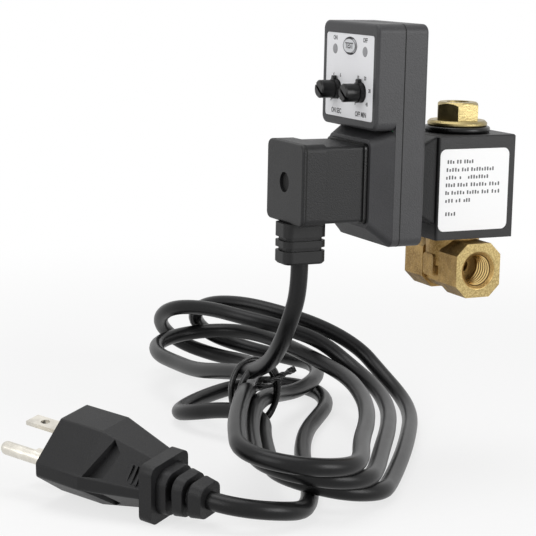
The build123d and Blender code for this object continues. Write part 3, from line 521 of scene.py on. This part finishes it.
# %% Parting lines
rear_low, rear_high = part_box("timer_rear_shell")
head_low, head_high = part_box("connector_housing")
proud = 0.03 * mm
groove_inset = 1.5 * mm
for name, x, low, high, corner, thick in (
        ("timer_seam", rear_low.x, rear_low, rear_high, 3.0, 0.42),
        ("connector_groove", head_low.x + groove_inset, head_low, head_high, 2.6, 0.5)):
    centre = (x, (low.y + high.y) / 2, (low.z + high.z) / 2)
    size = (thick * mm, high.y - low.y + 2 * proud, high.z - low.z + 2 * proud)
    line = plate(centre, size, corner * mm, 0)
    pieces[name] = settle(line, name, "coil_unit", "shadow_line")
print("parting lines stand proud by %.2f mm" % (proud / mm))

# %% [markdown]
# ## Tie
# A glossy plastic-covered wire is wound twice round the near limb of the bundle and twisted off. A curve could
# follow the whole wire, but its three parts have plain forms: the two wraps are rings squeezed to the
# bundle's oval, and the twisted end is a flat bar turned by a Simple Deform modifier.

# %% Tie
tie_low, tie_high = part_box("cord_tie")
tie_centre = Vector((-58.6 * mm, (tie_low.y + tie_high.y) / 2 + 1.5 * mm, -53.2 * mm))
wrap_radius, wire_radius = 10.4 * mm, 1.25 * mm
wrap_oval = (0.86, 1.16, 1)
wraps = []
for shift, tilt in ((-2.2, 9), (1.8, -7)):
    bpy.ops.object.select_all(action="DESELECT")
    bpy.ops.mesh.primitive_torus_add(
        location=tie_centre + Vector((0, shift * mm, 0)),
        rotation=(math.radians(90 + tilt), 0, math.radians(tilt)),
        major_segments=64, minor_segments=16, major_radius=wrap_radius, minor_radius=wire_radius)
    wrap = bpy.context.active_object
    wrap.scale = wrap_oval
    wraps.append(wrap)
end_width, end_thick, end_length, end_corner = 2.6 * mm, 1.5 * mm, 17 * mm, 0.5 * mm
end_bar = plate((0, 0, 0), (end_width, end_thick, end_length), end_corner, 2)
take(end_bar)
bpy.ops.object.mode_set(mode="EDIT")
bpy.ops.mesh.select_all(action="SELECT")
bpy.ops.mesh.subdivide(number_cuts=12)
bpy.ops.object.mode_set(mode="OBJECT")
twist = end_bar.modifiers.new("twist", "SIMPLE_DEFORM")
twist.deform_method, twist.deform_axis, twist.angle = "TWIST", "Z", math.radians(620)
apply_modifiers(end_bar)
pointed(end_bar, tie_centre + Vector((4 * mm, -8 * mm, 7 * mm)), (0.85, -0.25, 0.45))
take(*wraps, end_bar)
bpy.ops.object.join()
tie = bpy.context.active_object
pieces["twist_tie"] = settle(tie, "twist_tie", "coil_unit", "tie_plastic")
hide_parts("cord_tie")
print("tie faces:", len(tie.data.polygons))

# %% [markdown]
# ## Plug
# The plug is moulded round its blades. Its main form is in the solids; what a hand and an eye notice is
# added on copies of them: a hole through each blade, a sunk thumb grip on both slanted faces, three small
# ribs beside the collar and softened edges. The plug lies where the lead's stiffness turns it, a little
# nearer to the lead's own line than its solid, so each copy is turned about the lead's end.

# %% Plug: its own directions
plug_exit = route[-1] * mm
plug_yaw, plug_pitch, plug_roll = (math.radians(a) for a in (132.0, 5.0, -8.0))
level_share = math.cos(plug_pitch)
plug_axis = Vector((
    math.cos(plug_yaw) * level_share, math.sin(plug_yaw) * level_share, math.sin(plug_pitch)))
level = Vector((0, 0, 1)).cross(plug_axis).normalized()
plug_side = level * math.cos(plug_roll) + plug_axis.cross(level) * math.sin(plug_roll)
plug_up = plug_axis.cross(plug_side)
plug_frame = Matrix((plug_side, plug_up, plug_axis)).transposed().to_4x4()
plug_frame.translation = plug_exit
nearer_the_lead = Matrix.Rotation(math.radians(-10), 4, "Z")
plug_turn = Matrix.Translation(plug_exit) @ nearer_the_lead @ Matrix.Translation(-plug_exit)


def merged_copy(node):
    """A new object with a node's mesh, its doubles merged."""
    piece = bpy.data.objects.new(node, frame["nodes"][node].data.copy())
    bpy.context.scene.collection.objects.link(piece)
    take(piece)
    bpy.ops.object.mode_set(mode="EDIT")
    bpy.ops.mesh.select_all(action="SELECT")
    bpy.ops.mesh.remove_doubles(threshold=0.001 * mm)
    bpy.ops.mesh.dissolve_limited(angle_limit=math.radians(0.5))
    bpy.ops.object.mode_set(mode="OBJECT")
    return piece


def in_plug(place, turn=Matrix.Identity(4)):
    """A place given along the plug's side, up and axis, in millimetres."""
    return plug_frame @ Matrix.Translation(Vector(place) * mm) @ turn


# %% Plug: blade holes and thumb grips
collar_end, face_end = 21.0, 60.0
blade_tip = face_end + 17.5
hole_radius, hole_inset, through_both = 1.6, 5.9, 24
blades = merged_copy("plug_blades")
bpy.ops.object.select_all(action="DESELECT")
bpy.ops.mesh.primitive_cylinder_add(vertices=32, radius=hole_radius * mm, depth=through_both * mm)
hole = bpy.context.active_object
corners = [Vector(corner.co) for corner in blades.data.vertices]
blades_middle = plug_frame.inverted() @ (sum(corners, Vector()) / len(corners))
crosswise = Matrix.Rotation(math.pi / 2, 4, "X")
hole.matrix_world = in_plug((blades_middle.x / mm, 0, blade_tip - hole_inset), crosswise)
carve(blades, [hole])

# the thumb grips are three-sided wedges, point to the collar, sunk into the slanted faces
grip = merged_copy("plug_body")
wedge_radius, wedge_depth, wedge_lift = 9.5 * mm, 8 * mm, 3.3 * mm
face_lean = 0.26
quarter_back = Matrix.Rotation(math.pi / 2, 4, "Z").inverted()
cutters = []
for up in (1, -1):
    bpy.ops.object.select_all(action="DESELECT")
    bpy.ops.mesh.primitive_cylinder_add(vertices=3, radius=wedge_radius, depth=wedge_depth)
    wedge = bpy.context.active_object
    slanted = Vector((0.632, 0.775 * up, 0.0))
    toward_collar = Vector((0.10, -face_lean * up, -1.0)).normalized()
    outward = (slanted - face_lean * toward_collar).normalized()
    across = outward.cross(toward_collar).normalized()
    along = toward_collar - outward * toward_collar.dot(outward)
    seat = Matrix((along, across, outward)).transposed().to_4x4()
    lifted = Matrix.Translation((0, 0, wedge_lift))
    wedge.matrix_world = in_plug((8.6, 6.2 * up, 34.5)) @ seat @ lifted @ quarter_back
    cutters.append(wedge)
carve(grip, cutters)

# %% Plug: soft edges and ribs
relief = merged_copy("plug_strain_relief")
for piece in (grip, relief):
    soften = piece.modifiers.new("soften", "BEVEL")
    soften.width, soften.segments = 0.5 * mm, 2
    soften.limit_method, soften.angle_limit = "ANGLE", math.radians(25)
    apply_modifiers(piece)
rib_size, rib_corner = (1.0 * mm, 6.4 * mm, 0.8 * mm), 0.35 * mm
rib_turn = Matrix.Rotation(math.radians(39), 4, "Z")
first_rib, rib_step = collar_end + 1.8, 1.9
ribs = []
for number in range(3):
    rib = plate((0, 0, 0), rib_size, rib_corner, 2)
    rib.matrix_world = in_plug((7.6, 4.9, first_rib + rib_step * number), rib_turn)
    ribs.append(rib)
take(*ribs)
bpy.ops.object.join()
rib_row = bpy.context.active_object

# %% Plug: turned and settled at the lead's end
plug_pieces = []
for piece, name, finish, node in (
        (grip, "plug_grip", "plug_plastic", "plug_body"),
        (rib_row, "plug_ribs", "plug_plastic", None),
        (relief, "plug_relief", "plug_plastic", "plug_strain_relief"),
        (blades, "plug_pins", "nickel", "plug_blades"),
        (merged_copy("ground_pin"), "plug_ground", "nickel", "ground_pin")):
    piece.matrix_world = plug_turn @ piece.matrix_world
    pieces[name] = settle(piece, name, "coil_unit", finish)
    if node:
        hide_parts(node)
    plug_pieces.append(piece)
print("plug grip faces:", len(grip.data.polygons))

tuple(route[0] * mm)
[tie] + plug_pieces

# %% [markdown]
# ## Closing spring
# The spring under the core shortens as the plunger lifts. A stiff copy would be run through; here the copy
# keeps its full length, with a mesh of its own, and rides on the valve body.

# %% Closing spring
spring_low, spring_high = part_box("plunger_spring")
lift = next(j for j in frame["joints"] if j["name"] == "plunger_lift")
travel = max(lift["range_m"])
spring_length = spring_high.z - spring_low.z
spring = settle(merged_copy("plunger_spring"), "closing_spring", "valve_body", "stainless")
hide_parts("plunger_spring")
1 - travel / spring_length
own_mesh(spring)
pieces["closing_spring"] = spring
print("spring travel: %.1f mm" % (travel / mm))

# %% [markdown]
# ## A small language for materials
# Shader sums are easier to read as arithmetic. A Wire stands for one output socket: adding, multiplying or
# subtracting wires adds Math nodes. A Finish owns one material and makes any other node in one method.

# %% Wires and finishes
class Wire:
    """One output socket, with the arithmetic used on masks and noises."""

    def __init__(self, finish, socket):
        self.finish, self.socket = finish, socket

    def _sum(self, operation, first, second):
        return self.finish.node("ShaderNodeMath", {"operation": operation}, {0: first, 1: second})

    def __add__(self, other):
        return self._sum("ADD", self, other)

    def __mul__(self, other):
        return self._sum("MULTIPLY", self, other)

    def __sub__(self, other):
        return self._sum("SUBTRACT", self, other)

    def __rsub__(self, other):
        return self._sum("SUBTRACT", other, self)

    __radd__, __rmul__ = __add__, __mul__


class Finish:
    """One material and the nodes that make it."""

    def __init__(self, name):
        self.material = bpy.data.materials.new(name)
        self.material.use_nodes = True
        self.tree = self.material.node_tree
        self.shader = self.tree.nodes["Principled BSDF"]
        self.place = self.node("ShaderNodeTexCoord", output="Object")

    def node(self, kind, settings=None, inputs=None, output=0):
        """Make one node: its settings, the values or wires of its sockets, and the output to hand back."""
        made = self.tree.nodes.new(kind)
        for name, value in (settings or {}).items():
            setattr(made, name, value)
        for name, value in (inputs or {}).items():
            self.feed(made.inputs[name], value)
        return Wire(self, made.outputs[output])

    def feed(self, socket, value):
        """Link a wire to a socket, or write a plain value into it."""
        if isinstance(value, Wire):
            self.tree.links.new(value.socket, socket)
        else:
            socket.default_value = value

    def set(self, **values):
        """Feed the shader: set(Base_Color=..., Roughness=...)."""
        for name, value in values.items():
            self.feed(self.shader.inputs[name.replace("_", " ")], value)

    def noise(self, size, detail, roughness=0.5):
        """Noise whose features are about this size, in metres."""
        sockets = {"Vector": self.place, "Scale": 1 / size, "Detail": detail, "Roughness": roughness}
        return self.node("ShaderNodeTexNoise", {}, sockets)

    def blend(self, share, first, second):
        """A colour between two, by a share from 0 to 1."""
        first, second = ((*c, 1) if isinstance(c, tuple) else c for c in (first, second))
        return self.node("ShaderNodeMix", {"data_type": "RGBA"}, {0: share, 6: first, 7: second}, output=2)

    def length(self, vector):
        """How long a vector is, such as the distance of a place from the origin."""
        return self.node("ShaderNodeVectorMath", {"operation": "LENGTH"}, {0: vector}, output=1)

    def between(self, value, low, high, out_low=0.0, out_high=1.0):
        """Rescale a value and hold it inside its limits."""
        sockets = {"Value": value, "From Min": low, "From Max": high, "To Min": out_low, "To Max": out_high}
        return self.node("ShaderNodeMapRange", {"interpolation_type": "SMOOTHSTEP"}, sockets)

    def bump(self, height, distance):
        """Raise the surface's shading by a height that goes from 0 to 1, over this distance in metres."""
        sockets = {"Height": height, "Distance": distance, "Strength": 1.0}
        self.set(Normal=self.node("ShaderNodeBump", {}, sockets))


def scaled(colour, factor):
    """A colour made darker or lighter."""
    return tuple(min(1.0, c * factor) for c in colour)


finishes = {}

# %% [markdown]
# ## Moulded plastics
# A moulded case has a fine spark-eroded grain: tiny bumps that spread the highlight. Colour and roughness
# drift a little over the part, from mould wear and handling. One recipe with a grain size and a gloss makes
# all of them, from the matt timer case to the shiny knobs.

# %% Moulded plastics
def moulded(name, colour, grain, roughness, relief, spread=0.12, shine=0.30):
    """A plastic: its colour, its grain's size, how matt it is, the grain's depth and the colour's drift."""
    finish = Finish(name)
    finish.set(Specular_IOR_Level=shine)
    fine = finish.noise(grain, 3.0)
    broad = finish.noise(14 * mm, 2.0)
    speckle = finish.between(fine, 0.35, 0.68)
    worn = finish.between(broad, 0.3, 0.7)
    tone = finish.blend(worn, scaled(colour, 1 - spread), scaled(colour, 1 + spread))
    finish.set(
        Base_Color=finish.blend(speckle * 0.30, tone, scaled(colour, 1.6)),
        Roughness=roughness + 0.10 * broad + 0.08 * fine)
    finish.bump(fine, relief)
    finishes[name] = finish.material


moulded("case_plastic", (0.032, 0.032, 0.034), 0.50 * mm, 0.38, 0.09 * mm, shine=0.38)
moulded("connector_plastic", (0.0085, 0.0085, 0.0090), 0.50 * mm, 0.38, 0.09 * mm)
moulded("coil_plastic", (0.0080, 0.0080, 0.0085), 0.55 * mm, 0.38, 0.11 * mm, shine=0.38)
moulded("plug_plastic", (0.0060, 0.0060, 0.0065), 0.50 * mm, 0.38, 0.10 * mm)
moulded("cord_plastic", (0.0060, 0.0060, 0.0062), 0.40 * mm, 0.38, 0.04 * mm)
moulded("knob_plastic", (0.0040, 0.0040, 0.0042), 0.50 * mm, 0.22, 0.02 * mm)
moulded("tie_plastic", (0.0040, 0.0040, 0.0042), 0.80 * mm, 0.16, 0.06 * mm, shine=0.45)
moulded("bobbin_plastic", (0.55, 0.53, 0.48), 0.60 * mm, 0.45, 0.02 * mm, 0.05)
moulded("component_plastic", (0.10, 0.11, 0.14), 0.40 * mm, 0.40, 0.03 * mm)
moulded("capacitor_sleeve", (0.04, 0.05, 0.16), 1.50 * mm, 0.22, 0.02 * mm)
moulded("board", (0.05, 0.22, 0.10), 1.20 * mm, 0.35, 0.02 * mm)
moulded("button_plastic", (0.62, 0.63, 0.65), 0.80 * mm, 0.38, 0.01 * mm, 0.03)
moulded("lamp_lens", (0.27, 0.27, 0.28), 0.50 * mm, 0.30, 0.03 * mm, 0.05)
moulded("seal_rubber", (0.0050, 0.0050, 0.0050), 0.70 * mm, 0.20, 0.03 * mm)
print("plastics:", len(finishes))

# %% [markdown]
# ## The lead's jacket
# Extruded vinyl is smoother than a moulding. It has a satin gloss with faint long waves from the twisted
# cores under it, and a very fine haze of scuffs.

# %% Jacket
jacket = Finish("cord_jacket")
cores = jacket.noise(9 * mm, 1.0)
scuffs = jacket.noise(0.5 * mm, 4.0, 0.6)
vinyl, hazed_vinyl = (0.0045, 0.0045, 0.0048), (0.0090, 0.0090, 0.0095)
jacket.set(
    Base_Color=jacket.blend(jacket.between(scuffs, 0.5, 0.75), vinyl, hazed_vinyl),
    Roughness=0.24 + 0.12 * scuffs + 0.04 * cores,
    Specular_IOR_Level=0.24)
jacket.bump(0.3 * cores + 0.12 * scuffs, 0.25 * mm)
finishes["cord_jacket"] = jacket.material

# %% [markdown]
# ## Printed film and ink
# The timer's film is a pale grey with a light fleck; the coil's sticker is white paper under a clear
# laminate. Ink is near black and slightly uneven.

# %% Film and ink
def printed(name, colour, fleck, roughness):
    """A film or an ink: its colour, how strongly it is flecked and how matt it is."""
    finish = Finish(name)
    grain = finish.noise(0.22 * mm, 2.0)
    drift = finish.noise(9 * mm, 1.0)
    flecks = finish.between(grain, 0.3, 0.7) * 0.6 + 0.4 * drift
    finish.set(
        Base_Color=finish.blend(flecks, scaled(colour, 1 - fleck), scaled(colour, 1 + fleck)),
        Roughness=roughness + 0.08 * drift)
    finish.bump(grain, 0.01 * mm)
    finishes[name] = finish.material


printed("label_film", (0.83, 0.83, 0.85), 0.05, 0.36)
printed("label_white", (0.84, 0.84, 0.84), 0.02, 0.40)
printed("ink", (0.045, 0.045, 0.047), 0.25, 0.45)
printed("faded_ink", (0.075, 0.075, 0.078), 0.35, 0.45)
printed("shadow_line", (0.0020, 0.0020, 0.0020), 0.10, 0.80)

# %% [markdown]
# ## Metals
# The body is hot-forged brass: its skin is sand-like and dull, but the port faces and threads are machined
# bright. A mask by distance from the port faces parts the two. The other metals are turned or plated, with
# fine marks round or along the part.

# %% Forged and machined brass
body_low, body_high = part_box("valve_body")
brass = Finish("brass")
along_ports = brass.node("ShaderNodeSeparateXYZ", {}, {0: brass.place}, output=1)
skim, fade = 0.05 * mm, 0.30 * mm
front_face = brass.between(along_ports, body_low.y + skim, body_low.y + fade, 1.0, 0.0)
rear_face = brass.between(along_ports, body_high.y - fade, body_high.y - skim, 0.0, 1.0)
machined = front_face + rear_face
sand = brass.noise(0.55 * mm, 5.0, 0.62)
pits = brass.noise(1.6 * mm, 3.0, 0.55)
stain = brass.noise(6 * mm, 3.0)
forged_tone = brass.blend(brass.between(stain, 0.32, 0.68), (0.27, 0.165, 0.055), (0.46, 0.30, 0.110))
forged_tone = brass.blend(brass.between(sand, 0.45, 0.70) * 0.55, forged_tone, (0.66, 0.47, 0.20))
machined_tone = brass.blend(brass.between(sand, 0.35, 0.70), (0.27, 0.20, 0.085), (0.50, 0.39, 0.18))
brass.set(
    Base_Color=brass.blend(machined, forged_tone, machined_tone),
    Metallic=1.0,
    Roughness=(1 - machined) * (0.34 + 0.20 * sand) + machined * (0.26 + 0.10 * sand))
brass.bump((1 - machined) * (sand * 0.8 + pits * 0.7) + machined * 0.15 * sand, 0.30 * mm)
finishes["brass"] = brass.material


# %% Thread brass, zinc, steel, nickel and copper
def metal(name, colour, roughness, mark, relief, dull=0.15):
    """A turned or plated metal: its colour, how matt it is, the size and depth of its marks, and its clouds."""
    finish = Finish(name)
    marks = finish.noise(mark, 3.0)
    cloud = finish.noise(5 * mm, 3.0)
    clouded = finish.between(cloud, 0.3, 0.7)
    finish.set(
        Base_Color=finish.blend(clouded, scaled(colour, 1 - dull), scaled(colour, 1 + dull / 2)),
        Metallic=1.0,
        Roughness=roughness + 0.12 * cloud + 0.08 * marks)
    finish.bump(marks, relief)
    finishes[name] = finish.material


# the threads: bright crests, and painted shade darkening the roots, told apart by the distance from the ports'
# axis
thread_brass = Finish("machined_brass")
off_axis = {0: thread_brass.place, 1: (1, 0, 1)}
flat = thread_brass.node("ShaderNodeVectorMath", {"operation": "MULTIPLY"}, off_axis)
root = thread_brass.between(thread_brass.length(flat), 5.20 * mm, 5.60 * mm)
# the roots' near-black colour is painted shade in the grooves, not a colour of the brass
bright_crest, painted_root_shade = (0.78, 0.56, 0.24), (0.07, 0.035, 0.010)
thread_brass.set(
    Base_Color=thread_brass.blend(root, bright_crest, painted_root_shade), Metallic=1.0, Roughness=0.20 + 0.25 * root)
finishes["machined_brass"] = thread_brass.material
metal("yellow_zinc", (0.36, 0.29, 0.135), 0.26, 0.6 * mm, 0.12 * mm, 0.3)
metal("stainless", (0.62, 0.62, 0.62), 0.22, 0.4 * mm, 0.01 * mm)
metal("steel", (0.55, 0.55, 0.56), 0.30, 0.4 * mm, 0.02 * mm)
metal("nickel", (0.72, 0.69, 0.62), 0.22, 0.8 * mm, 0.02 * mm)
metal("copper", (0.62, 0.30, 0.16), 0.30, 0.3 * mm, 0.05 * mm)
print("finishes:", ", ".join(sorted(finishes)))

# %% [markdown]
# ## Dress every piece
# Each CAD node takes the finish of its slot in the record, so the two never drift apart, and each new piece
# the finish it was settled with. The threads are the machined kind of the body's brass.

# %% Dress
slot_of = {part["node"]: part["material_slot"] for part in frame["record"]["subparts"]}
for name, piece in frame["nodes"].items():
    piece.data.materials.clear()
    piece.data.materials.append(finishes[slot_of[name]])
finish_of["inlet_thread"] = finish_of["outlet_thread"] = "machined_brass"
pieces["lead_flex"] = lead_flex
for name, piece in pieces.items():
    piece.data.materials.clear()
    piece.data.materials.append(finishes[finish_of[name]])
for name in ("inlet_thread", "outlet_thread", "twist_tie", "on_lamp_window", "off_lamp_window"):
    take(pieces[name])
    bpy.ops.object.shade_smooth_by_angle(angle=math.radians(40))

# %% [markdown]
# ## Studio
# A pale sheet lies under the object. The world is an even soft light that shows as white; a soft box in front
# on the right models the case sides, a weaker one lights the tops, and the weakest fills the left. The sheet
# and the world are made brighter only for rays that go straight to the eye, to metal or through glass, so a
# white ground sheds no extra light on the object.

# %% Floor, world and lamps
sheet_gap = 0.02 * mm
floor_z = min(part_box(node)[0].z for node in ("plug_body", "cord_coil")) - sheet_gap
bpy.ops.object.select_all(action="DESELECT")
bpy.ops.mesh.primitive_plane_add(size=6, location=(0, 0, floor_z))
floor = bpy.context.active_object
floor.name = "floor"
sheet = Finish("studio_sheet")
fibre = sheet.noise(3 * mm, 2.0)
paper, pale_paper = (0.88, 0.88, 0.88), (0.92, 0.92, 0.92)
sheet.set(Base_Color=sheet.blend(fibre, paper, pale_paper), Roughness=0.9, Specular_IOR_Level=0.0)
straight_rays = ("Is Camera Ray", "Is Glossy Ray", "Is Transmission Ray")
rays = sheet.node("ShaderNodeLightPath").socket.node.outputs
seen = sum(Wire(sheet, rays[kind]) for kind in straight_rays)
whiter = 0.72 + 0.28 * sheet.between(sheet.length(sheet.place), 0.16, 0.50)
glow = sheet.node("ShaderNodeEmission", {}, {"Color": (1, 1, 1, 1), "Strength": 1.0})
lit = Wire(sheet, sheet.shader.outputs[0])
mixed = sheet.node("ShaderNodeMixShader", {}, {0: seen * whiter, 1: lit, 2: glow})
sheet.feed(sheet.tree.nodes["Material Output"].inputs["Surface"], mixed)
floor.data.materials.append(sheet.material)

ambient = 0.36
world = bpy.data.worlds.new("studio")
bpy.context.scene.world = world
world.use_nodes = True
sky = world.node_tree.nodes["Background"]
sky.inputs["Color"].default_value = (1, 1, 1, 1)
light_path = world.node_tree.nodes.new("ShaderNodeLightPath")
strength = sky.inputs["Strength"]
for kind in straight_rays:
    brighter = world.node_tree.nodes.new("ShaderNodeMath")
    brighter.operation = "MAXIMUM"
    brighter.inputs[1].default_value = ambient
    world.node_tree.links.new(light_path.outputs[kind], brighter.inputs[0])
    world.node_tree.links.new(brighter.outputs[0], strength)
    strength = brighter.inputs[1]

# each lamp: its place, the side of its square and its power
target = Vector((-0.03, 0.0, 0.0))
lamps = {
    "soft_box": ((0.42, -0.80, 0.24), 0.50, 4.7),
    "top_box": ((-0.15, 0.10, 0.85), 0.60, 3.0),
    "left_fill": ((-0.90, -0.25, 0.35), 0.60, 2.8),
}
for name, (place, size, power) in lamps.items():
    bpy.ops.object.light_add(type="AREA", location=place)
    lamp = bpy.context.active_object
    lamp.name = name
    lamp.data.size = size
    lamp.data.energy = power
    lamp.rotation_mode = "QUATERNION"
    lamp.rotation_quaternion = (Vector(place) - target).to_track_quat("Z", "Y")
bpy.context.scene.view_settings.view_transform = "Standard"
print("lamps:", ", ".join(lamps))
